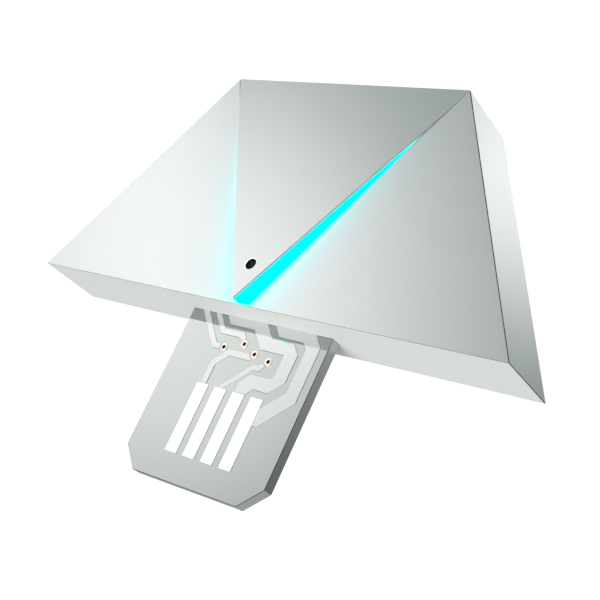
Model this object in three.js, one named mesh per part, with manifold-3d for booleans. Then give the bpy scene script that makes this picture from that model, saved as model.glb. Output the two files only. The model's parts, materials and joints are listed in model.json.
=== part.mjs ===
// A plug-in sensor module: a flat trapezoid housing whose front is three equal triangles,
// with a light guide along the two free edges of the raised centre one, and a circuit board
// whose tongue comes out of the long edge and plugs into a host.
// Millimetres. The housing lies on its back: +Z comes out of its front, the tongue points to -Y.

import * as THREE from 'three';
import { mergeVertices } from 'three/addons/utils/BufferGeometryUtils.js';
import Module from 'manifold-3d';

const wasm = await Module();
wasm.setup();

// ---- housing
const facetSide = 29; // side of each front triangle; the long edge is two of them
const bodyDepth = 7.9; // front plates to back face
const wall = 1.2;
const frontPlate = 1.2; // left and right facets
const coverThickness = 1.2;
const coverGap = 0.1; // all round the back cover, inside the walls

// ---- centre facet
const tipRise = 1.25; // its tip stands this far above the front plates
const lipThickness = 0.2; // its thin visible edge
const facetThickness = 1;
const facetCorner = 0.15; // radius of its corners
const facetGap = 0.08; // to the shell beside it and to the light guide under it

// ---- light guide
const bladeThickness = 0.8; // the two walls that stand along the facet's edges
const flangeWidth = 0.88; // flush strip beside the right blade, at the tip
const leftFlange = { width: 0.45, start: 1.2 }; // the left one, and how far from the tip it starts
const flangeReach = 0.77; // share of the edge that the strip tapers away along
const flangeDepth = 0.8;
const guideEndWall = 0.25; // shell left standing between the guide's tip and the long edge
const guideToLight = 0.7; // air between the side lights and the guide

// ---- microphone
const micFromEdge = 3.86; // long edge to the middle of the microphone hole
const micHole = { radius: 0.6, meshRadius: 0.75, meshThickness: 0.15, meshDepth: 0.35 };
const micRim = { gap: 0.04, below: 0.05, inner: 0.42, depth: 0.12 }; // the mesh's raised black rim
const micBody = { x: 2.75, y: 1.85, z: 0.95 };
const gasketHole = 0.55; // radius
const gasketGap = 0.13; // to the light guide's two walls

// ---- circuit board and its plug tongue
const boardDrop = 3.7; // front plates to the board's front face
const boardThickness = 1.2;
const boardGap = 0.3; // to the walls
const tongueWidth = 18;
const tongueReach = 17.2;
const tongueChamfer = 2.2;
const slotGap = 0.03; // round the tongue and its tracks where they leave the housing

// ---- contact pads, tracks and vias on the tongue
const pads = { count: 4, pitch: 2.35, width: 1.52, length: 7.22, toTip: 2.73, centre: 0.23, height: 0.06 };
const trackHeight = 0.04;
const trackInside = 2; // how far the tracks run on inside the housing
const viaPad = { radius: 0.45, height: 0.07, hole: 0.23, barrel: 0.32 };
const insertGap = 0.03; // round each via in the board and in the tracks

// ---- screws and the posts they go into
const sidePost = { fromCorner: 11, fromEdge: 6 }; // from the long edge's ends, and from that edge
const topPostBelowEdge = 6; // short edge to the centre facet's own post
const post = { shoulder: 2.2, pin: 1.2, pilot: 0.65, hole: 1.35 };
const screw = { head: 1.3, headHeight: 0.65, shank: 0.6, length: 3.2, slot: 0.35, slotDepth: 0.3 };
const counterbore = { radius: 1.5, depth: 0.8 };

// ---- parts soldered to the board
const sideLight = { x: 1.6, y: 0.8, z: 0.6, along: [0.24, 0.47, 0.7] };

// ---- worked out from the sizes above
const root3 = Math.sqrt(3);
const facetHeight = (facetSide * root3) / 2; // long edge to short edge
const facetTilt = Math.atan2(tipRise, facetHeight);
const boardFront = bodyDepth - boardDrop;
const boardBack = boardFront - boardThickness;
const guideBottom = boardFront + sideLight.z + guideToLight;
const padNear = pads.toTip + pads.length - tongueReach; // y of the pads' inner ends
const sidePostX = facetSide - sidePost.fromCorner;
const topPostY = facetHeight - topPostBelowEdge;
const posts = [
  [-sidePostX, sidePost.fromEdge],
  [sidePostX, sidePost.fromEdge],
  [0, topPostY],
];

const finish = (color, roughness, metalness = 0) =>
  new THREE.MeshStandardMaterial({ color, roughness, metalness });
const whiteShell = finish(0xe9edeb, 0.3);
const cyanGuide = finish(0x10f0f4, 0.25);
cyanGuide.emissive.set(0x00e8f0);
const brightBoard = finish(0xd2d8d5, 0.08, 0.85);
const trackFilm = finish(0xeff2f1, 0.3);
const padWhite = finish(0xffffff, 0.4);
const viaGold = finish(0xd9a066, 0.35, 0.8);
const black = finish(0x0b0b0c, 0.6);
const rubber = finish(0x202224, 0.8);
const steel = finish(0xa8adb0, 0.35, 1);
const silver = finish(0xc9ccce, 0.35, 1);
const ceramic = finish(0xb59a72, 0.5);

const model = new THREE.Group();
model.position.y = (-4 / 9) * facetHeight; // the back face's centroid becomes the origin

function add(name, geometry, material, parent = model) {
  const mesh = new THREE.Mesh(geometry, material);
  mesh.name = name;
  parent.add(mesh);
  return mesh;
}

// ---- shapes

function solidOf(geometry) {
  geometry.deleteAttribute('normal');
  geometry.deleteAttribute('uv');
  const merged = mergeVertices(geometry, 1e-5);
  const vertProperties = Float32Array.from(merged.attributes.position.array);
  const triVerts = Uint32Array.from(merged.index.array);
  return new wasm.Manifold(new wasm.Mesh({ numProp: 3, vertProperties, triVerts }));
}

function geometryOf(solid) {
  const { vertProperties, triVerts } = solid.getMesh();
  const geometry = new THREE.BufferGeometry();
  geometry.setAttribute('position', new THREE.BufferAttribute(vertProperties, 3));
  geometry.setIndex(new THREE.BufferAttribute(triVerts, 1));
  geometry.computeVertexNormals();
  return geometry;
}

// A closed outline through the points, with each corner rounded where a radius is given.
function outline(points, radius = 0) {
  const corners = points.map(([x, y]) => new THREE.Vector2(x, y));
  if (radius === 0) return new THREE.Shape(corners);
  const shape = new THREE.Shape();
  corners.forEach((corner, i) => {
    const towards = (other) => {
      const step = other.clone().sub(corner);
      return corner.clone().add(step.setLength(Math.min(radius, step.length() / 2)));
    };
    const before = towards(corners.at(i - 1));
    const after = towards(corners[(i + 1) % corners.length]);
    if (i === 0) shape.moveTo(before.x, before.y);
    else shape.lineTo(before.x, before.y);
    shape.quadraticCurveTo(corner.x, corner.y, after.x, after.y);
  });
  shape.closePath();
  return shape;
}

function plate(points, bottom, top, radius = 0) {
  const depth = top - bottom;
  const geometry = new THREE.ExtrudeGeometry(outline(points, radius), {
    depth,
    bevelEnabled: false,
    curveSegments: 4,
  });
  return geometry.translate(0, 0, bottom);
}

const prism = (points, bottom, top, radius = 0) => solidOf(plate(points, bottom, top, radius));

function rod(x, y, radius, bottom, top, sides = 32) {
  const geometry = new THREE.CylinderGeometry(radius, radius, top - bottom, sides);
  geometry.rotateX(Math.PI / 2);
  return solidOf(geometry.translate(x, y, (bottom + top) / 2));
}

const rectangle = (x0, y0, x1, y1) => [
  [x0, y0],
  [x1, y0],
  [x1, y1],
  [x0, y1],
];

const joined = (solids) => solids.reduce((whole, solid) => whole.add(solid));

// The housing's outline, with every side moved inwards.
function bodyOutline(inset) {
  const long = facetSide - inset * root3;
  const short = facetSide / 2 - inset / root3;
  return [
    [-long, inset],
    [long, inset],
    [short, facetHeight - inset],
    [-short, facetHeight - inset],
  ];
}

// The centre triangle between two heights, with its two slanted sides moved outwards.
function veeOutline(out, low, high) {
  const half = (y) => y / root3 + (2 * out) / root3;
  if (half(low) <= 0) return [[0, -2 * out], [half(high), high], [-half(high), high]];
  return [
    [-half(low), low],
    [half(low), low],
    [half(high), high],
    [-half(high), high],
  ];
}

// Everything on one side of the centre facet's tilted top face, lowered by some depth.
function facetHalfSpace(depth, side) {
  const reach = 4 * facetSide;
  const block = new THREE.BoxGeometry(reach, reach, reach);
  block.translate(0, 0, (side * reach) / 2 - depth);
  block.rotateX(-facetTilt);
  return solidOf(block.translate(0, facetHeight, bodyDepth));
}
const belowFacet = (depth) => facetHalfSpace(depth, -1);
const aboveFacet = (depth) => facetHalfSpace(depth, 1);

// A point beside the right edge of the centre facet: so far along it from the tip, and out from it.
const besideEdge = (along, out) => [(along + out * root3) / 2, (along * root3 - out) / 2];

// A flush strip that tapers away beside the right edge, grown outwards by a gap.
function flangeOutline(gap, widest, start) {
  const reach = flangeReach * facetSide;
  const width = widest * (1 - start / reach);
  const inside = -bladeThickness / 2;
  return [
    besideEdge(start, inside),
    besideEdge(start, width + gap),
    besideEdge(reach, gap),
    besideEdge(reach, inside),
  ];
}
const mirrored = (points) => points.map(([x, y]) => [-x, y]).reverse();

// Both strips, stopping short of the long edge, between two heights.
function flanges(gap, bottom, top) {
  const right = flangeOutline(gap, flangeWidth, -2 * flangeWidth);
  const left = mirrored(flangeOutline(gap, leftFlange.width, leftFlange.start - gap));
  const room = rectangle(-facetSide, guideEndWall - gap, facetSide, facetHeight);
  const both = prism(right, bottom, top).add(prism(left, bottom, top));
  return both.intersect(prism(room, bottom - 1, top + 1));
}

// A track of even width along a line of points.
function trackOutline(points, width) {
  const line = points.map(([x, y]) => new THREE.Vector2(x, y));
  const side = (sign) =>
    line.map((point, i) => {
      const before = line[Math.max(i - 1, 0)];
      const after = line[Math.min(i + 1, line.length - 1)];
      const into = (i === 0 ? after : point).clone().sub(i === 0 ? point : before).normalize();
      const out = (after === point ? into : after.clone().sub(point)).clone().normalize();
      const across = new THREE.Vector2(-into.y - out.y, into.x + out.x).normalize();
      const stretch = 1 / (across.x * -into.y + across.y * into.x);
      const place = point.clone().addScaledVector(across, (sign * width * stretch) / 2);
      return [place.x, place.y];
    });
  return [...side(1), ...side(-1).reverse()];
}

// ---- housing

// The room in the shell for the centre facet and the light guide.
function frontOpening() {
  const clear = bodyDepth + 2 * tipRise;
  const inWall = bodyDepth - flangeDepth - facetGap;
  const throughPlate = bodyDepth - frontPlate - facetGap;
  const innerEdge = facetHeight - wall;
  return joined([
    flanges(facetGap, inWall, clear),
    prism(veeOutline(facetGap, guideEndWall - facetGap, innerEdge), inWall, clear),
    prism(veeOutline(facetGap, wall, innerEdge), throughPlate, clear),
    prism(veeOutline(facetGap, innerEdge - wall, facetHeight + wall), inWall, clear).intersect(
      aboveFacet(lipThickness + facetGap),
    ),
  ]);
}

// A post with a shoulder that sits on the board and a pin that goes through it.
function postSolid([x, y], top) {
  return rod(x, y, post.shoulder, boardFront, top).add(rod(x, y, post.pin, coverThickness, boardFront + 0.5));
}
const pilotHole = ([x, y]) => rod(x, y, post.pilot, coverThickness - 1, coverThickness + screw.length);

function frontShell() {
  const depth = bodyDepth - frontPlate;
  const sidePosts = posts.slice(0, 2);
  const slot = rectangle(-tongueWidth / 2 - slotGap, -1, tongueWidth / 2 + slotGap, 1.5 * wall);
  return prism(bodyOutline(0), 0, bodyDepth)
    .subtract(prism(bodyOutline(wall), -1, depth))
    .subtract(frontOpening())
    .subtract(prism(slot, boardBack - slotGap, boardFront + trackHeight + slotGap))
    .add(joined(sidePosts.map((at) => postSolid(at, depth + frontPlate / 2))))
    .subtract(joined(sidePosts.map(pilotHole)));
}

function backCover() {
  const rings = posts.map(([x, y]) => rod(x, y, post.shoulder, coverThickness / 2, boardBack));
  const holes = posts.flatMap(([x, y]) => [
    rod(x, y, post.hole, coverThickness, boardBack + 1),
    rod(x, y, post.pilot + 0.1, -1, boardBack),
    rod(x, y, counterbore.radius, -1, counterbore.depth),
  ]);
  return prism(bodyOutline(wall + coverGap), 0, coverThickness).add(joined(rings)).subtract(joined(holes));
}

// ---- centre facet, light guide and microphone

// A round solid standing square to the centre facet's top face, between two depths under it.
function rodInFacet(y, radius, deepest, highest, sides = 32) {
  const rodShape = new THREE.CylinderGeometry(radius, radius, deepest - highest, sides);
  rodShape.rotateX(Math.PI / 2).translate(0, 0, -(deepest + highest) / 2).rotateX(-facetTilt);
  const height = bodyDepth + (facetHeight - y) * Math.tan(facetTilt);
  return rodShape.translate(0, y, height);
}

function centreFacet() {
  const [base, clear] = [bodyDepth - 2 * facetThickness, bodyDepth + 2 * tipRise];
  const inset = bladeThickness + facetGap;
  const coreOutline = veeOutline(-inset, 2 * inset, facetHeight - wall - facetGap);
  const lip = prism(veeOutline(0, 0, facetHeight), base, clear, facetCorner);
  const core = prism(coreOutline, base, clear);
  const topPost = postSolid(posts[2], clear);
  const { radius, meshRadius, meshThickness, meshDepth } = micHole;
  return joined([
    lip.intersect(aboveFacet(lipThickness)),
    core.intersect(aboveFacet(facetThickness)),
    topPost.subtract(pilotHole(posts[2])),
  ])
    .intersect(belowFacet(0))
    .subtract(solidOf(rodInFacet(micFromEdge, radius, 2 * facetThickness, -1)))
    .subtract(solidOf(rodInFacet(micFromEdge, meshRadius + facetGap, 2 * facetThickness, meshDepth)));
}

// A black disc held under the facet, whose raised rim fills the hole round the sunken mesh.
function micMesh() {
  const { radius, meshRadius, meshThickness, meshDepth } = micHole;
  const bottom = meshDepth + meshThickness;
  return solidOf(rodInFacet(micFromEdge, meshRadius, bottom, meshDepth))
    .add(solidOf(rodInFacet(micFromEdge, radius - micRim.gap, bottom - meshThickness / 2, micRim.below)))
    .subtract(solidOf(rodInFacet(micFromEdge, micRim.inner, micRim.below + micRim.depth, -1)));
}

function lightGuide() {
  const farEnd = facetHeight - wall - facetGap;
  const clear = bodyDepth + 2 * tipRise;
  const underFlange = rectangle(-facetSide, 0, facetSide, wall + facetGap);
  return prism(veeOutline(0, guideEndWall, farEnd), guideBottom, clear)
    .add(prism(veeOutline(0, 0, farEnd), bodyDepth + facetGap, clear, facetCorner))
    .subtract(prism(veeOutline(-bladeThickness, 2 * bladeThickness, farEnd + 1), 0, 2 * clear))
    .intersect(belowFacet(lipThickness + facetGap))
    .add(flanges(0, bodyDepth - flangeDepth, bodyDepth))
    .subtract(prism(underFlange, 0, bodyDepth - flangeDepth));
}

function microphone() {
  const { x, y, z } = micBody;
  const can = rectangle(-x / 2, micFromEdge - y / 2, x / 2, micFromEdge + y / 2);
  const port = rod(0, micFromEdge, gasketHole / 2, boardFront + z / 2, boardFront + 2 * z);
  return prism(can, boardFront, boardFront + z, 0.15).subtract(port);
}

function micGasket() {
  const [bottom, clear] = [boardFront + micBody.z, bodyDepth + 2 * tipRise];
  const toGuide = micFromEdge / 2 - bladeThickness;
  return rod(0, micFromEdge, toGuide - gasketGap, bottom, clear)
    .subtract(rod(0, micFromEdge, gasketHole, bottom - 1, clear + 1))
    .intersect(belowFacet(facetThickness + facetGap));
}

// ---- circuit board

const padX = (i) => pads.centre + (i - (pads.count - 1) / 2) * pads.pitch;
const vias = [
  [-2.93, -3.23],
  [-0.65, -2.47],
  [1.09, -3.23],
  [3.05, -3.6],
];
const [via1, via2, via3, via4] = vias;

function circuitBoard() {
  const [half, tip, top] = [tongueWidth / 2, -tongueReach, wall + boardGap + 1];
  const tongue = [
    [-half, top],
    [-half, tip + tongueChamfer],
    [-half + tongueChamfer, tip],
    [half - tongueChamfer, tip],
    [half, tip + tongueChamfer],
    [half, top],
  ];
  const through = (x, y, radius) => rod(x, y, radius, boardBack - 1, boardFront + 1);
  return prism(bodyOutline(wall + boardGap), boardBack, boardFront)
    .add(prism(tongue, boardBack, boardFront))
    .subtract(joined(posts.map(([x, y]) => through(x, y, post.hole))))
    .subtract(joined(vias.map(([x, y]) => through(x, y, viaPad.barrel + insertGap))));
}

// A film of copper and varnish on the board's front face, clear of the vias.
function addTrack(name, points) {
  const top = boardFront + trackHeight;
  const cuts = vias.map(([x, y]) => rod(x, y, viaPad.radius + insertGap, boardFront - 1, top + 1));
  add(name, geometryOf(prism(points, boardFront, top).subtract(joined(cuts))), trackFilm);
}

function addTracks() {
  const [left, right] = [padX(2) - pads.width / 2 + 0.15, padX(2) + pads.width / 2];
  const lastPad = padX(3) + pads.width / 2;
  addTrack('pad_1_track', trackOutline([[padX(0), padNear], [padX(0), -5], [-1.91, -3.61], [0.6, -3.61], via3], 0.7));
  addTrack('pad_2_track', trackOutline([[padX(1), padNear], [padX(1), -7.06], [1.67, -4.47], [2.35, -4.47], via4], 0.55));
  addTrack('via_1_track', trackOutline([via1, [-4.21, via1[1]], [-7.2, 0], [-7.2, trackInside]], 0.65));
  addTrack('via_2_track', trackOutline([via2, [-1.31, -1.67], [-3.89, -1.67], [-5.5, 0], [-5.5, trackInside]], 0.6));
  addTrack('supply_track', [
    [left, padNear],
    [left, -6.24],
    [1.81, -5.15],
    [4.13, -5.15],
    [4.47, -4.81],
    [4.47, -2.64],
    [1.52, -2.64],
    [-0.25, -0.87],
    [-3.4, -0.87],
    [-4.2, 0],
    [-4.2, trackInside],
    [1.05, trackInside],
    [1.05, 0],
    [2.33, -1.3],
    [5.05, -1.3],
    [6.02, -2.3],
    [6.02, -5.15],
    [4.57, -6.57],
    [2.75, -6.57],
    [right, padNear],
  ]);
  addTrack('ground_track', [
    [lastPad, -8.12],
    [6.6, -6.02],
    [6.6, -1.6],
    [6.02, -1.02],
    [3, -1.02],
    [2, 0],
    [2, trackInside],
    [7.03, trackInside],
    [7.03, 0],
    [8.12, -1.1],
    [8.12, -6.76],
    [5, -9.89],
    [lastPad, -9.89],
  ]);
}

function addPads() {
  for (let i = 0; i < pads.count; i += 1) {
    const [x, half] = [padX(i), pads.width / 2];
    const area = rectangle(x - half, padNear - pads.length, x + half, padNear);
    add(`contact_pad_${i + 1}`, plate(area, boardFront, boardFront + pads.height), padWhite);
  }
}

function addVias() {
  vias.forEach(([x, y], i) => {
    const via = rod(x, y, viaPad.radius, boardFront, boardFront + viaPad.height)
      .add(rod(x, y, viaPad.barrel, boardBack, boardFront + viaPad.height / 2, 24))
      .subtract(rod(x, y, viaPad.hole, boardBack - 1, boardFront + 1, 24));
    add(`via_${i + 1}`, geometryOf(via), viaGold);
    const fill = new THREE.CylinderGeometry(viaPad.hole - insertGap, viaPad.hole - insertGap, boardThickness, 24);
    const plug = add(`via_fill_${i + 1}`, fill.rotateX(Math.PI / 2), black);
    plug.position.set(x, y, (boardBack + boardFront) / 2);
  });
}

// ---- parts soldered to the board

// A group whose origin is a place on the board's front face.
function onBoard(x, y, turn = 0) {
  const place = new THREE.Group();
  place.position.set(x, y, boardFront);
  place.rotation.z = turn;
  model.add(place);
  return place;
}

const block = (x, y, bottom, top, radius = 0) => prism(rectangle(-x / 2, -y / 2, x / 2, y / 2), bottom, top, radius);

function addSideLights() {
  const { x, y, z, along } = sideLight;
  const body = () => block(x, y, 0, z).subtract(rod(0, 0, y / 4, z * 0.8, 2 * z, 16));
  for (const [name, sign] of [
    ['left', -1],
    ['right', 1],
  ]) {
    along.forEach((share, i) => {
      const [placeX, placeY] = besideEdge(share * facetSide, -bladeThickness / 2);
      const place = onBoard(sign * placeX, placeY, (sign * Math.PI) / 3);
      add(`side_light_${name}_${i + 1}`, geometryOf(body()), padWhite, place);
    });
  }
}

// A moulded chip with a row of leads along each long side.
function leadedChip(size, leads) {
  const { count, pitch, width, out } = leads;
  const solids = [block(size.x, size.y, 0.1, size.z)];
  for (let i = 0; i < count; i += 1) {
    const middle = (i - (count - 1) / 2) * pitch;
    const lead = rectangle(middle - width / 2, -size.y / 2 - out, middle + width / 2, size.y / 2 + out);
    solids.push(prism(lead, 0, size.z / 3));
  }
  return joined(solids);
}

// A two-ended part whose soldered ends stand slightly proud of its body.
function endedPart(x, y, z) {
  const end = x / 5;
  const ends = block(x, y, 0, z).subtract(block(x - 2 * end, 2 * y, -1, 2 * z));
  const body = block(x - end, y - 0.1, 0.05, z - 0.05);
  return ends.add(body);
}

function addBoardParts() {
  const besidePosts = sidePost.fromEdge;
  const betweenLightAndPost = (besidePosts / root3 + sidePostX) / 2;
  const outside = betweenLightAndPost + 2;
  const micTop = micFromEdge + micBody.y / 2;
  const controller = leadedChip({ x: 5, y: 4, z: 0.9 }, { count: 8, pitch: 0.6, width: 0.3, out: 0.5 });
  const controllerY = (micTop + topPostY - post.shoulder) / 2;
  add('controller_chip', geometryOf(controller), black, onBoard(0, controllerY));
  const amplifier = leadedChip({ x: 3, y: 2.6, z: 1 }, { count: 4, pitch: 0.65, width: 0.3, out: 0.6 });
  add('amplifier_chip', geometryOf(amplifier), black, onBoard(-betweenLightAndPost, besidePosts));
  const regulator = leadedChip({ x: 2.9, y: 1.6, z: 1.1 }, { count: 3, pitch: 0.95, width: 0.4, out: 0.6 });
  add('voltage_regulator', geometryOf(regulator), black, onBoard(betweenLightAndPost, besidePosts));
  add('crystal', geometryOf(block(3.2, 2.5, 0, 0.8, 0.3)), silver, onBoard(-5, topPostY));
  const coil = block(3, 3, 0, 0.4, 0.2).add(rod(0, 0, 1.3, 0.2, 1.4));
  add('power_coil', geometryOf(coil), rubber, onBoard(outside, 2 * besidePosts));
  const capacitors = [
    [-betweenLightAndPost, besidePosts + 3.6],
    [betweenLightAndPost, besidePosts + 3.6],
    [3.7, topPostY],
  ];
  const resistors = [
    [-outside, 2 * besidePosts - 1],
    [-outside, 2 * besidePosts + 1],
    [5.5, topPostY],
  ];
  capacitors.forEach(([x, y], i) => {
    add(`capacitor_${i + 1}`, geometryOf(endedPart(1.6, 0.8, 0.8)), ceramic, onBoard(x, y, Math.PI / 2));
  });
  resistors.forEach(([x, y], i) => {
    add(`resistor_${i + 1}`, geometryOf(endedPart(1.6, 0.8, 0.45)), black, onBoard(x, y));
  });
}

// ---- screws, driven in from the back

function addScrews() {
  const { head, headHeight, shank, length, slot, slotDepth } = screw;
  posts.forEach(([x, y], i) => {
    const seat = counterbore.depth;
    const bottom = seat - headHeight;
    const cross = [
      rectangle(-head * 0.7, -slot / 2, head * 0.7, slot / 2),
      rectangle(-slot / 2, -head * 0.7, slot / 2, head * 0.7),
    ].map((bar) => prism(bar, bottom - 1, bottom + slotDepth));
    const body = rod(0, 0, head, bottom, seat)
      .add(rod(0, 0, shank, seat - 0.1, seat + length))
      .subtract(joined(cross));
    const mesh = add(`cover_screw_${i + 1}`, geometryOf(body), steel);
    mesh.position.set(x, y, 0);
  });
}

add('front_shell', geometryOf(frontShell()), whiteShell);
add('back_cover', geometryOf(backCover()), whiteShell);
add('centre_facet', geometryOf(centreFacet()), whiteShell);
add('light_guide', geometryOf(lightGuide()), cyanGuide);
add('microphone', geometryOf(microphone()), silver);
add('microphone_gasket', geometryOf(micGasket()), rubber);
add('microphone_mesh', geometryOf(micMesh()), black);
add('circuit_board', geometryOf(circuitBoard()), brightBoard);
addPads();
addTracks();
addVias();
addSideLights();
addBoardParts();
addScrews();

export default model;
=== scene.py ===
"""Finishes for a plug-in sensor module: a satin pearl housing with three triangular facets, a lit
cyan guide along the raised facet, and a mirror-bright board whose tongue carries four contacts.
Metres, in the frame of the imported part: +Z out of the front, the tongue towards -Y."""

import json
import math

import bmesh
import bpy
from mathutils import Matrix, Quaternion, Vector


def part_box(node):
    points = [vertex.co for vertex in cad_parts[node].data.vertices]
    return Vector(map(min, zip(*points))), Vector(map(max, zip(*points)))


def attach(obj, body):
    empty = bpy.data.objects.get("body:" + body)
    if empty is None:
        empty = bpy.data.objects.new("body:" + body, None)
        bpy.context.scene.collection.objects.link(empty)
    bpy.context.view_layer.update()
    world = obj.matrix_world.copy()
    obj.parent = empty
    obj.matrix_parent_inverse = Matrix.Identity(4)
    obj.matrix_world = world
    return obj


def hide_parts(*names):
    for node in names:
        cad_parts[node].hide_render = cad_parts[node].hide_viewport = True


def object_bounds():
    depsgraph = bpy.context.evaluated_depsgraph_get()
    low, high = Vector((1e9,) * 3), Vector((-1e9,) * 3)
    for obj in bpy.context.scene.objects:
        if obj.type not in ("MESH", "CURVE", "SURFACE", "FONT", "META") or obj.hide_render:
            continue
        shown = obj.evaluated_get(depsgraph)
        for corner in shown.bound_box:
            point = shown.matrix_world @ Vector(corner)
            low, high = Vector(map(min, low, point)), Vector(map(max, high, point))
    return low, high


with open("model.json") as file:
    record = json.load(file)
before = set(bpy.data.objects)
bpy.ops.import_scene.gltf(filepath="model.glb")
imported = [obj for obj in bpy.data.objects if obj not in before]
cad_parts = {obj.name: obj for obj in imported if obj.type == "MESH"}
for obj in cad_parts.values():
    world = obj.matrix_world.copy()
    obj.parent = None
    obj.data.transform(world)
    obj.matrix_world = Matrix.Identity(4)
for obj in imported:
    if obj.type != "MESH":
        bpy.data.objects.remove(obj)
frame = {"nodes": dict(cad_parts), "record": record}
cad_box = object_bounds()

MM = 0.001
nodes = frame["nodes"]
SHELL_LOW, SHELL_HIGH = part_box("front_shell")
LONG_EDGE_Y, SHORT_EDGE_Y = SHELL_LOW.y, SHELL_HIGH.y
FRONT_Z = SHELL_HIGH.z
FACET_SIDE = SHELL_HIGH.x
FACET_TIP_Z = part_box("centre_facet")[1].z
BOARD_TOP_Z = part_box("circuit_board")[1].z
MIC_CENTRE = sum(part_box("microphone_mesh"), Vector()) / 2
MIC_REACH = 0.8 * MM  # takes in the microphone hole and no other edge
ROOT_3 = math.sqrt(3)

# How CAD meshes are read: what counts as one point, one plane, a sharp edge and an edge of the
# outline, and how far a face leans before it counts as a side.
SAME_POINT = 0.0005 * MM
SAME_PLANE = math.radians(0.5)
SHARP = math.radians(25)
HARD_SHADING = math.radians(35)
CLOSE = 0.02 * MM
LEVEL, LEANING = 0.5, 0.3

# Bevels and small radii, in metres.
SHELL_EDGE = 0.27 * MM
LONG_FRONT_EDGE = 0.025 * MM
FACET_EDGE = 0.04 * MM
MIC_CHAMFER = 0.085 * MM
MIC_SCREEN_RADIUS = 0.42 * MM
BOARD_EDGE = 0.05 * MM
FILM_EDGE = 0.025 * MM
VIA_EDGE = 0.06 * MM
CHIP_EDGE = 0.06 * MM

# The light guide, and the glow of its light painted onto the front plates beside it.
LIT_SHARE = 0.8  # of the guide's length, from the tip
PAINTED_GLOW_STRENGTH = 0.63
PAINTED_GLOW_REACH = 1.6 * MM  # away from the guide
PAINTED_GLOW_LENGTH = 26 * MM  # along the guide, from the tip

# The studio pieces.
FLOOR_RADIUS = 2.9
BACKDROP_RADIUS = 3
FLOOR_GAP = 0.02 * MM


# ---------------------------------------------------------------- camera, light and floor

def add_camera():
    """The camera looks down at the right-hand corner of the front, rolled to its left."""
    place = Vector((73.9, -38.6, 84.3)) * MM
    target = Vector((3.16, -8.0, 4.0)) * MM
    data = bpy.data.cameras.new("camera")
    data.lens = 70.5
    data.sensor_width = 36
    data.clip_start, data.clip_end = 0.005, 50
    camera = bpy.data.objects.new("camera", data)
    bpy.context.scene.collection.objects.link(camera)
    aim = (target - place).to_track_quat("-Z", "Y")
    roll = Quaternion((0, 0, 1), math.radians(-47.5))
    camera.rotation_mode = "QUATERNION"
    camera.rotation_quaternion = aim @ roll
    camera.location = place
    bpy.context.scene.camera = camera


# The studio dome: its own grey, and soft lights in it. Each has a direction, how many times
# tighter than a hemisphere it is cut off, the power of its falloff, and a colour.
DOME_GREY = (0.062, 0.1, 0.083)
DOME_LIGHTS = [
    ((-0.69, 0.40, 0.60), 1, 116, (0.6, 0.61, 0.61)),
    ((-0.72, 0.21, 0.67), 13, 2.4, (1.65, 1.58, 1.61)),
    ((0.09, -0.87, 0.49), 1, 20, (8.2, 8.25, 8.22)),
    ((0.11, -0.86, -0.50), 1, 12, (1.05, 1.05, 1.05)),
    ((-0.14, 0.65, -0.75), 1, 98, (2.2, 2.18, 2.19)),
    ((-0.58, -0.15, -0.80), 1, 72, (0.55, 0.55, 0.55)),
    ((0.58, 0.35, -0.73), 1, 70, (0.43, 0.44, 0.435)),
    ((-0.95, 0.20, -0.25), 1, 10, (1.2, 1.2, 1.2)),
    ((0.62, 0.70, -0.35), 1, 8, (0.7, 0.7, 0.7)),
]


def build_world():
    """A grey-green studio dome with a few soft lights in it, found by direction."""
    world = bpy.data.worlds.new("studio_dome")
    bpy.context.scene.world = world
    world.use_nodes = True
    tree = world.node_tree
    tree.nodes.clear()
    link = tree.links.new
    direction = tree.nodes.new("ShaderNodeTexCoord").outputs["Generated"]
    total = None
    for towards, cut, power, colour in DOME_LIGHTS:
        dot = tree.nodes.new("ShaderNodeVectorMath")
        dot.operation = "DOT_PRODUCT"
        link(direction, dot.inputs[0])
        dot.inputs[1].default_value = Vector(towards).normalized()
        narrowed = tree.nodes.new("ShaderNodeMath")
        narrowed.operation = "MULTIPLY_ADD"
        link(dot.outputs["Value"], narrowed.inputs[0])
        narrowed.inputs[1].default_value = cut
        narrowed.inputs[2].default_value = 1 - cut
        facing = tree.nodes.new("ShaderNodeMath")
        facing.operation = "MAXIMUM"
        link(narrowed.outputs["Value"], facing.inputs[0])
        facing.inputs[1].default_value = 0
        falloff = tree.nodes.new("ShaderNodeMath")
        falloff.operation = "POWER"
        link(facing.outputs["Value"], falloff.inputs[0])
        falloff.inputs[1].default_value = power
        light = tree.nodes.new("ShaderNodeVectorMath")
        light.operation = "SCALE"
        light.inputs[0].default_value = colour
        link(falloff.outputs["Value"], light.inputs["Scale"])
        add = tree.nodes.new("ShaderNodeVectorMath")
        link(light.outputs["Vector"], add.inputs[0])
        if total is None:
            add.inputs[1].default_value = DOME_GREY
        else:
            link(total, add.inputs[1])
        total = add.outputs["Vector"]
    background = tree.nodes.new("ShaderNodeBackground")
    link(total, background.inputs["Color"])
    output = tree.nodes.new("ShaderNodeOutputWorld")
    link(background.outputs["Background"], output.inputs["Surface"])


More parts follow.
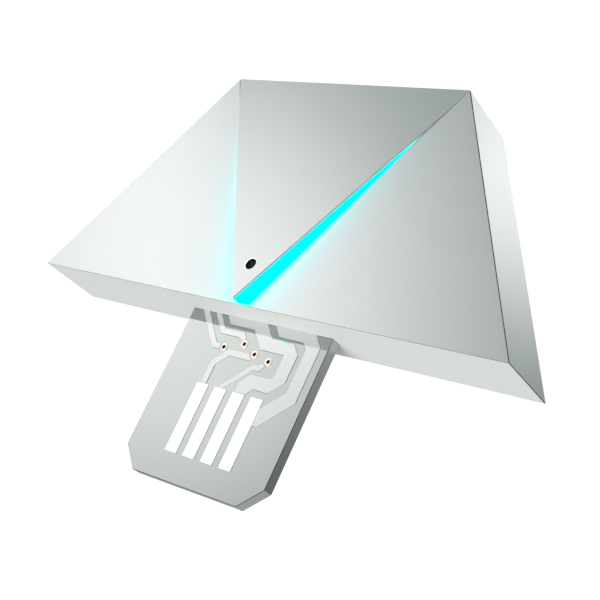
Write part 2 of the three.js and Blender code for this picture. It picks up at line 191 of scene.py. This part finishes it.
def stage_piece(name, build, place_z, glow, matt):
    """A white piece that only the camera sees, so that the dome alone lights the module."""
    material = bpy.data.materials.new(f"{name}_white")
    material.use_nodes = True
    shader = material.node_tree.nodes["Principled BSDF"]
    shader.inputs["Base Color"].default_value = (matt, matt, matt, 1)
    shader.inputs["Specular IOR Level"].default_value = 0
    shader.inputs["Emission Color"].default_value = (1, 1, 1, 1)
    shader.inputs["Emission Strength"].default_value = glow
    mesh = bpy.data.meshes.new(name)
    bm = bmesh.new()
    build(bm)
    bm.to_mesh(mesh)
    bm.free()
    mesh.materials.append(material)
    piece = bpy.data.objects.new(name, mesh)
    piece.location.z = place_z
    piece.visible_diffuse = False
    piece.visible_glossy = False
    piece.visible_transmission = False
    piece.visible_shadow = False
    bpy.context.scene.collection.objects.link(piece)


def add_studio():
    """A wide white floor that the module lies on, and a white backdrop round it."""
    def floor(bm):
        bmesh.ops.create_circle(bm, cap_ends=True, radius=FLOOR_RADIUS, segments=64)

    def backdrop(bm):
        bmesh.ops.create_uvsphere(bm, u_segments=48, v_segments=24, radius=BACKDROP_RADIUS)

    stage_piece("floor", floor, cad_box[0].z - FLOOR_GAP, glow=1.02, matt=0.3)
    stage_piece("backdrop", backdrop, 0, glow=1.1, matt=0)


# ---------------------------------------------------------------- materials

class Finish:
    """One material: a Principled shader, with helpers for patterns on Object coordinates."""

    def __init__(self, name, **constants):
        self.material = bpy.data.materials.new(name)
        self.material.use_nodes = True
        self.tree = self.material.node_tree
        self.shader = self.tree.nodes["Principled BSDF"]
        for socket, value in constants.items():
            self.shader.inputs[socket.replace("_", " ")].default_value = value
        self.coordinates = self.node("ShaderNodeTexCoord").outputs["Object"]

    def node(self, kind, **settings):
        made = self.tree.nodes.new(kind)
        for name, value in settings.items():
            setattr(made, name, value)
        return made

    def link(self, start, end):
        self.tree.links.new(start, end)

    def sum(self, operation, *values):
        """A Math node on sockets or numbers."""
        made = self.node("ShaderNodeMath", operation=operation)
        for socket, value in zip(made.inputs, values):
            if isinstance(value, (int, float)):
                socket.default_value = value
            else:
                self.link(value, socket)
        return made.outputs["Value"]

    def axes(self):
        """The x, y and z of Object coordinates."""
        split = self.node("ShaderNodeSeparateXYZ")
        self.link(self.coordinates, split.inputs["Vector"])
        return split.outputs

    def noise(self, size, detail=3, stretch=(1, 1, 1)):
        """Noise whose features are about one size across, in metres."""
        mapping = self.node("ShaderNodeMapping")
        mapping.inputs["Scale"].default_value = stretch
        self.link(self.coordinates, mapping.inputs["Vector"])
        noise = self.node("ShaderNodeTexNoise")
        noise.inputs["Scale"].default_value = 1 / size
        noise.inputs["Detail"].default_value = detail
        self.link(mapping.outputs["Vector"], noise.inputs["Vector"])
        return noise.outputs["Fac"]

    def ramp(self, value, low, high, start=0.3, stop=0.7):
        """Turns a pattern into a number between two values."""
        scale = self.node("ShaderNodeMapRange")
        self.link(value, scale.inputs["Value"])
        scale.inputs["From Min"].default_value = start
        scale.inputs["From Max"].default_value = stop
        scale.inputs["To Min"].default_value = low
        scale.inputs["To Max"].default_value = high
        return scale.outputs["Result"]

    def mix(self, amount, first, second):
        """A colour between two, by a pattern."""
        mix = self.node("ShaderNodeMix", data_type="RGBA")
        self.link(amount, mix.inputs["Factor"])
        for socket, colour in ((mix.inputs[6], first), (mix.inputs[7], second)):
            if isinstance(colour, tuple):
                socket.default_value = (*colour, 1)
            else:
                self.link(colour, socket)
        return mix.outputs[2]

    def colour(self, value):
        self.link(value, self.shader.inputs["Base Color"])

    def roughness(self, value):
        self.link(value, self.shader.inputs["Roughness"])

    def glow(self, value):
        self.link(value, self.shader.inputs["Emission Strength"])

    def bump(self, value, height, strength=1.0):
        bump = self.node("ShaderNodeBump")
        bump.inputs["Distance"].default_value = height
        bump.inputs["Strength"].default_value = strength
        self.link(value, bump.inputs["Height"])
        self.link(bump.outputs["Normal"], self.shader.inputs["Normal"])


def pearl(name):
    """White moulding with a fine satin pearl: nearly smooth, with faint grain and flow."""
    finish = Finish(name, Metallic=0.36, Specular_IOR_Level=0)
    finish.colour(finish.mix(finish.noise(9 * MM, 2), (0.94, 0.955, 0.95), (0.96, 0.97, 0.965)))
    finish.roughness(finish.ramp(finish.noise(0.6 * MM, 4), 0.08, 0.12))
    finish.bump(finish.noise(0.05 * MM, 2), 0.0006 * MM, 0.4)
    return finish


def pearl_with_painted_glow():
    """The same moulding, with the guide's cyan light painted onto the front plates beside it as
    colour and glow.
    """
    finish = pearl("pearl_shell_painted_glow")
    x, y, z = finish.axes()
    up = finish.sum("SUBTRACT", y, LONG_EDGE_Y)
    across = finish.sum("ABSOLUTE", x)
    out = finish.sum("MULTIPLY_ADD", across, ROOT_3 / 2, finish.sum("MULTIPLY", up, -0.5))
    along = finish.sum("MULTIPLY_ADD", across, 0.5, finish.sum("MULTIPLY", up, ROOT_3 / 2))
    near = finish.sum("EXPONENT", finish.sum("DIVIDE", finish.sum("ABSOLUTE", out), -PAINTED_GLOW_REACH))
    unspent = finish.sum("SUBTRACT", 1, finish.sum("DIVIDE", along, PAINTED_GLOW_LENGTH))
    unspent = finish.sum("MAXIMUM", unspent, 0)
    on_front = finish.ramp(z, 0, 1, FRONT_Z - 0.3 * MM, FRONT_Z - 0.1 * MM)
    painted_glow = finish.sum("MULTIPLY", near, finish.sum("POWER", unspent, 1.5))
    painted_glow_on_front = finish.sum("MULTIPLY", painted_glow, on_front)
    white = finish.shader.inputs["Base Color"].links[0].from_socket
    # painted glow: near the guide the plates turn cyan and emit, fading away from it and along it
    finish.colour(finish.mix(painted_glow_on_front, white, (0.42, 0.94, 0.98)))
    finish.shader.inputs["Emission Color"].default_value = (0, 0.72, 1, 1)
    finish.glow(finish.sum("MULTIPLY", painted_glow_on_front, PAINTED_GLOW_STRENGTH))
    return finish.material


def pearl_wall():
    """The long wall by the tongue, moulded with a duller satin that keeps no image of the board."""
    finish = Finish("pearl_wall", Metallic=0.1)
    finish.colour(finish.mix(finish.noise(9 * MM, 2), (0.9, 0.89, 0.884), (0.92, 0.91, 0.904)))
    finish.roughness(finish.ramp(finish.noise(0.6 * MM, 4), 0.45, 0.55))
    finish.bump(finish.noise(0.05 * MM, 2), 0.0006 * MM, 0.4)
    return finish.material


def edge_painted_shade():
    """The moulding's eased edges, a dark mirror whose colour paints thin shaded lines along them,
    taking only the dome's own grey.
    """
    finish = Finish("edge_painted_shade", Metallic=1.0)
    # painted shade: dark grey instead of the moulding's white, for the thin dark lines along the
    # edges
    finish.colour(finish.mix(finish.noise(1.5 * MM, 2), (0.34, 0.37, 0.36), (0.4, 0.43, 0.42)))
    finish.roughness(finish.ramp(finish.noise(0.4 * MM, 3), 0.08, 0.14))
    return finish.material


def facet_lip_painted_shade():
    """The thin side of the centre facet, painted darker grey for the shade over the guide."""
    finish = Finish("facet_lip_painted_shade", Specular_IOR_Level=0.2)
    # painted shade: grey instead of the moulding's white
    finish.colour(finish.mix(finish.noise(1.5 * MM, 2), (0.44, 0.42, 0.42), (0.5, 0.48, 0.48)))
    finish.roughness(finish.ramp(finish.noise(0.4 * MM, 3), 0.5, 0.6))
    return finish.material


def mic_chamfer_painted_highlight():
    """The chamfer round the microphone hole, with a white highlight painted on by its glow."""
    # painted highlight: white emission makes the ring bright all the way round
    finish = Finish("mic_chamfer_painted_highlight", Emission_Color=(1, 1, 1, 1), Emission_Strength=0.8)
    finish.colour(finish.mix(finish.noise(0.5 * MM, 2), (0.95, 0.95, 0.95), (1, 1, 1)))
    finish.roughness(finish.ramp(finish.noise(0.2 * MM, 3), 0.1, 0.2))
    return finish.material


def mic_screen():
    """Fine woven screen under the microphone hole."""
    finish = Finish("mic_screen", Specular_IOR_Level=0.3)
    weave = None
    for turn in (45, -45):
        mapping = finish.node("ShaderNodeMapping")
        mapping.inputs["Rotation"].default_value = (0, 0, math.radians(turn))
        finish.link(finish.coordinates, mapping.inputs["Vector"])
        wave = finish.node("ShaderNodeTexWave")
        wave.inputs["Scale"].default_value = 1 / (1.2 * MM)
        finish.link(mapping.outputs["Vector"], wave.inputs["Vector"])
        threads = wave.outputs["Fac"]
        weave = threads if weave is None else finish.sum("MAXIMUM", weave, threads)
    finish.colour(finish.mix(weave, (0.006, 0.007, 0.007), (0.02, 0.022, 0.022)))
    finish.roughness(finish.ramp(weave, 0.7, 0.5, 0, 1))
    finish.bump(weave, 0.01 * MM, 0.6)
    return finish.material


def mirror_board():
    """Board laminate under a thin bright coating, faintly green, with the weave just showing."""
    finish = Finish("mirror_board", Metallic=1.0)
    finish.colour(finish.mix(finish.noise(4 * MM, 3), (0.4, 0.435, 0.415), (0.42, 0.45, 0.435)))
    finish.roughness(finish.ramp(finish.noise(0.8 * MM, 3), 0.03, 0.05))
    return finish.material


def board_edge():
    """The cut edge of the laminate, duller than its faces, with its layers just showing."""
    finish = Finish("board_edge", Metallic=1.0)
    layers = finish.noise(0.12 * MM, 2, (0.1, 0.1, 1))
    finish.colour(finish.mix(layers, (0.55, 0.53, 0.535), (0.6, 0.58, 0.585)))
    finish.roughness(finish.ramp(layers, 0.16, 0.24))
    return finish.material


def track_film():
    """Tracks under the same bright coating, paler than the bare board."""
    finish = Finish("track_film", Metallic=0.4)
    finish.colour(finish.mix(finish.noise(2 * MM, 2), (0.79, 0.805, 0.8), (0.82, 0.835, 0.83)))
    finish.roughness(finish.ramp(finish.noise(0.5 * MM, 3), 0.05, 0.09))
    return finish.material


def track_edge_painted_shade():
    """The etched edges of the tracks, painted dark grey for the shade along them."""
    finish = Finish("track_edge_painted_shade", Metallic=1.0)
    # painted shade: a dark mirror colour for the thin dark lines along each track
    finish.colour(finish.mix(finish.noise(1 * MM, 2), (0.2, 0.21, 0.205), (0.26, 0.27, 0.265)))
    finish.roughness(finish.ramp(finish.noise(0.3 * MM, 3), 0.3, 0.4))
    return finish.material


def contact_white():
    """Bright silver-white contact plating with a painted glow of white emission, and the faint
    rubbing marks of a socket along it.
    """
    # painted glow: white emission brightens the plating beyond its lighting
    finish = Finish(
        "contact_white", Metallic=0.5, Emission_Color=(1, 1, 1, 1), Emission_Strength=0.25
    )
    rubbed = finish.noise(0.25 * MM, 4, (1, 0.08, 1))
    finish.colour(finish.mix(rubbed, (0.96, 0.96, 0.96), (1, 1, 1)))
    finish.roughness(finish.ramp(rubbed, 0.14, 0.22))
    return finish.material


def via_gold(name, first, second, metallic):
    """Pale rose-gold plating, with a painted glow of its own colour."""
    # painted glow: emission in the plating's colour brightens it beyond its lighting
    finish = Finish(name, Metallic=metallic, Emission_Color=(*first, 1), Emission_Strength=0.35)
    finish.colour(finish.mix(finish.noise(0.2 * MM, 3), first, second))
    finish.roughness(finish.ramp(finish.noise(0.1 * MM, 3), 0.15, 0.25))
    return finish.material


def lit_guide():
    """Clear guide lit from its tip: even cyan for most of its length, then plain satin grey."""
    finish = Finish("lit_guide", Roughness=0.3)
    _, y, _ = finish.axes()
    lit_end = LONG_EDGE_Y + (SHORT_EDGE_Y - LONG_EDGE_Y) * LIT_SHARE
    lit = finish.ramp(y, 1, 0, lit_end - 2.5 * MM, lit_end)
    grey = finish.mix(finish.noise(1.5 * MM, 2), (0.52, 0.56, 0.55), (0.6, 0.64, 0.63))
    finish.colour(finish.mix(lit, grey, (0.0, 0.02, 0.02)))
    finish.shader.inputs["Emission Color"].default_value = (0, 1, 1, 1)
    finish.glow(finish.ramp(lit, 0, 2.0, 0, 1))
    finish.shader.inputs["Specular IOR Level"].default_value = 0.0
    return finish.material


# Plain finishes for the small parts: the two colours that they vary between, the grain's size,
# the range of roughness, and how metallic and glossy they are.
PLAIN_FINISHES = {
    # the board's bevels: a dark mirror, painted shade for thin dark lines along its edges
    "board_rim_painted_shade": ((0.16, 0.17, 0.165), (0.22, 0.23, 0.225), 0.5 * MM, (0.2, 0.3), 1.0, 0.5),
    "dark_fill": ((0.004, 0.004, 0.005), (0.01, 0.01, 0.011), 0.2 * MM, (0.6, 0.8), 0.0, 0.05),
    "turned_steel": ((0.52, 0.53, 0.54), (0.62, 0.63, 0.64), 0.3 * MM, (0.25, 0.4), 1.0, 0.5),
    "soft_rubber": ((0.03, 0.03, 0.033), (0.05, 0.05, 0.054), 0.5 * MM, (0.7, 0.85), 0.0, 0.5),
    "chip_black": ((0.02, 0.02, 0.022), (0.035, 0.035, 0.038), 0.3 * MM, (0.5, 0.7), 0.0, 0.5),
    "metal_can": ((0.66, 0.67, 0.68), (0.74, 0.75, 0.76), 0.6 * MM, (0.22, 0.34), 1.0, 0.5),
    "ceramic": ((0.46, 0.36, 0.24), (0.55, 0.45, 0.31), 0.4 * MM, (0.4, 0.55), 0.0, 0.5),
    "lamp_white": ((0.86, 0.88, 0.88), (0.94, 0.95, 0.95), 0.4 * MM, (0.3, 0.45), 0.0, 0.5),
}


def plain_finish(name):
    """A finish with slight colour and roughness variation, for the small parts."""
    first, second, size, rough, metallic, specular = PLAIN_FINISHES[name]
    finish = Finish(name, Metallic=metallic, Specular_IOR_Level=specular)
    finish.colour(finish.mix(finish.noise(size, 3), first, second))
    finish.roughness(finish.ramp(finish.noise(size / 3, 3), *rough))
    finish.bump(finish.noise(size / 8, 2), 0.002 * MM, 0.4)
    return finish.material


MATERIALS = {
    "shell_white": pearl("pearl_shell_plain").material,
    "shell_lit": pearl_with_painted_glow(),
    "pearl_wall": pearl_wall(),
    "edge_painted_shade": edge_painted_shade(),
    "facet_lip_painted_shade": facet_lip_painted_shade(),
    "mic_chamfer_painted_highlight": mic_chamfer_painted_highlight(),
    "mic_screen": mic_screen(),
    "board_silver": mirror_board(),
    "board_edge": board_edge(),
    "board_rim_painted_shade": plain_finish("board_rim_painted_shade"),
    "track_film": track_film(),
    "track_edge_painted_shade": track_edge_painted_shade(),
    "contact_white": contact_white(),
    "via_gold": via_gold("via_gold", (1.0, 0.95, 0.9), (1.0, 0.96, 0.92), 0.3),
    "via_rim": via_gold("via_rim", (0.95, 0.66, 0.52), (1.0, 0.74, 0.6), 0.4),
    "light_guide": lit_guide(),
    "dark_fill": plain_finish("dark_fill"),
    "steel": plain_finish("turned_steel"),
    "rubber": plain_finish("soft_rubber"),
    "chip_black": plain_finish("chip_black"),
    "metal_can": plain_finish("metal_can"),
    "ceramic": plain_finish("ceramic"),
    "lamp_white": plain_finish("lamp_white"),
}
SLOTS = {entry["node"]: entry["material_slot"] for entry in frame["record"]["subparts"]}


# ---------------------------------------------------------------- pieces

class Refined:
    """A copy of a CAD node's mesh with whole faces, its edges bevelled, standing for the node."""

    def __init__(self, node, finish=None):
        self.node = node
        self.finishes = [finish or SLOTS[node]]
        self.bm = bmesh.new()
        self.bm.from_mesh(nodes[node].data)
        bmesh.ops.remove_doubles(self.bm, verts=self.bm.verts, dist=SAME_POINT)
        bmesh.ops.dissolve_limit(
            self.bm, angle_limit=SAME_PLANE, verts=self.bm.verts, edges=self.bm.edges
        )
        for face in self.bm.faces:
            face.material_index = 0

    def finish_index(self, finish):
        if finish not in self.finishes:
            self.finishes.append(finish)
        return self.finishes.index(finish)

    def bevel(self, chosen, width, segments=2, finish=None, clamp=True):
        """Bevels the chosen sharp edges, with a finish of their own if one is given.

        Without the clamp, a ring keeps its full width past its shortest stretch."""
        sharp = [e for e in self.bm.edges if e.is_manifold and e.calc_face_angle(0) > SHARP]
        made = bmesh.ops.bevel(
            self.bm, geom=[e for e in sharp if chosen(e)], offset=width, offset_type="OFFSET",
            segments=segments, profile=0.5, affect="EDGES", clamp_overlap=clamp, material=-1,
        )
        if finish:
            for face in made["faces"]:
                face.material_index = self.finish_index(finish)
        return self

    def paint(self, chosen, finish):
        """Gives the chosen faces a finish of their own."""
        for face in self.bm.faces:
            if face.material_index == 0 and chosen(face):
                face.material_index = self.finish_index(finish)
        return self

    def place(self, smooth=True):
        """Makes the object, smooth across its bevels and flat on its faces, or flat all over."""
        mesh = bpy.data.meshes.new(f"{self.node}_refined")
        self.bm.to_mesh(mesh)
        self.bm.free()
        for finish in self.finishes:
            mesh.materials.append(MATERIALS[finish])
        piece = bpy.data.objects.new(f"{self.node}_refined", mesh)
        bpy.context.scene.collection.objects.link(piece)
        if smooth:
            mesh.shade_smooth()
            mesh.set_sharp_from_angle(angle=HARD_SHADING)
            weighted = piece.modifiers.new("flat_faces", "WEIGHTED_NORMAL")
            weighted.keep_sharp = True
        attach(piece, "root")
        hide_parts(self.node)


def every(edge):
    return True


def longer_than(length):
    return lambda edge: edge.calc_length() > length


def is_film_edge(edge):
    """The upper edges of what lies on the board."""
    return all(v.co.z - BOARD_TOP_Z > CLOSE for v in edge.verts)


def is_far_from(edge, centre, distance):
    return all((v.co.xy - centre.xy).length > distance for v in edge.verts)


def is_on_outline(point):
    """Whether a point lies on the housing's four walls."""
    to_slanted_wall = (FACET_SIDE - abs(point.x)) * ROOT_3 / 2 - (point.y - LONG_EDGE_Y) / 2
    return min(point.y - LONG_EDGE_Y, SHORT_EDGE_Y - point.y, to_slanted_wall) < CLOSE


def is_shell_edge(edge):
    """The long edges of the housing's walls."""
    return all(is_on_outline(v.co) for v in edge.verts) and edge.calc_length() > 2 * MM


def is_long_front_edge(edge):
    """The edge between the front plates and the long wall, in its stretches."""
    return all(v.co.y - LONG_EDGE_Y < CLOSE and FRONT_Z - v.co.z < CLOSE for v in edge.verts)


def is_long_wall(face):
    return face.normal.y < -0.9 and is_on_outline(face.calc_center_median())


def is_upright(face):
    return abs(face.normal.z) < LEANING


def is_not_top(face):
    return face.normal.z < LEVEL


def is_on_facet_top(point):
    """Whether a point lies on the centre facet's slope, which rises from the short edge."""
    share = (SHORT_EDGE_Y - point.y) / (SHORT_EDGE_Y - LONG_EDGE_Y)
    return abs(point.z - FRONT_Z - share * (FACET_TIP_Z - FRONT_Z)) < CLOSE / 2


def is_near_mic(point):
    return (point.xy - MIC_CENTRE.xy).length < MIC_REACH


def is_mic_rim_edge(edge):
    return all(is_on_facet_top(v.co) and is_near_mic(v.co) for v in edge.verts)


def is_facet_outline_edge(edge):
    return all(is_on_facet_top(v.co) and not is_near_mic(v.co) for v in edge.verts)


def build_housing():
    shell = Refined("front_shell", "shell_lit")
    # the eased edges take the dark edge finish, painted shade along them
    shell.bevel(lambda e: is_shell_edge(e) and not is_long_front_edge(e), SHELL_EDGE, 3, "edge_painted_shade")
    shell.bevel(is_long_front_edge, LONG_FRONT_EDGE, 2, "edge_painted_shade")
    shell.paint(is_long_wall, "pearl_wall")
    shell.place()
    facet = Refined("centre_facet")
    # the chamfer round the microphone hole gets the painted highlight
    facet.bevel(is_mic_rim_edge, MIC_CHAMFER, 2, "mic_chamfer_painted_highlight", clamp=False)
    facet.bevel(is_facet_outline_edge, FACET_EDGE, 2)
    # the facet's upright sides get the painted shade of the lip finish
    facet.paint(is_upright, "facet_lip_painted_shade")
    facet.place()
    Refined("back_cover").bevel(longer_than(5 * MM), FACET_EDGE).place()


def build_microphone_mesh():
    """The black disc under the facet: a glossy rim round a woven screen."""
    def is_screen(face):
        middle = face.calc_center_median()
        return face.normal.z > LEVEL and (middle.xy - MIC_CENTRE.xy).length < MIC_SCREEN_RADIUS

    disc = Refined("microphone_mesh")
    disc.paint(is_screen, "mic_screen")
    disc.bevel(lambda e: e.verts[0].co.z > MIC_CENTRE.z, FILM_EDGE)
    disc.place()


def build_board():
    board = Refined("circuit_board")
    # the board's bevels take the dark rim finish, painted shade along its edges
    board.bevel(longer_than(1.5 * MM), BOARD_EDGE, 2, "board_rim_painted_shade")
    board.paint(is_upright, "board_edge")
    board.place(smooth=False)


def build_track(name):
    track = Refined(name)
    # the track's bevel and sides take the dark edge finish, painted shade
    track.bevel(is_film_edge, FILM_EDGE, 1, "track_edge_painted_shade")
    track.paint(is_not_top, "track_edge_painted_shade")
    track.place(smooth=False)


def build_via(name):
    """A plated ring, its outer edge in a deeper rose."""
    low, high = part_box(name)
    centre, reach = (low + high) / 2, (high.x - low.x) / 2

    def is_outer_edge(edge):
        return is_film_edge(edge) and is_far_from(edge, centre, 0.9 * reach)

    via = Refined(name)
    via.bevel(is_outer_edge, VIA_EDGE, 2, "via_rim")
    via.paint(is_not_top, "via_rim")
    via.place()


def build_films():
    """Tracks, contacts and vias, which lie on the board."""
    for name in sorted(nodes):
        if SLOTS[name] == "track_film":
            build_track(name)
        elif SLOTS[name] == "contact_white":
            Refined(name).bevel(is_film_edge, FILM_EDGE).place(smooth=False)
        elif SLOTS[name] == "via_gold":
            build_via(name)


def build_small_parts():
    """The soldered parts get eased edges; the rest keep their CAD meshes under new finishes."""
    for name in sorted(nodes):
        slot = SLOTS[name]
        if slot in ("chip_black", "metal_can", "ceramic", "lamp_white"):
            Refined(name).bevel(every, CHIP_EDGE).place()
        elif slot in ("light_guide", "rubber", "steel") or name.startswith("via_fill"):
            nodes[name].data.materials.clear()
            nodes[name].data.materials.append(MATERIALS[slot])


add_camera()
build_world()
add_studio()
build_housing()
build_microphone_mesh()
build_board()
build_films()
build_small_parts()
bpy.context.scene.view_settings.view_transform = "Standard"
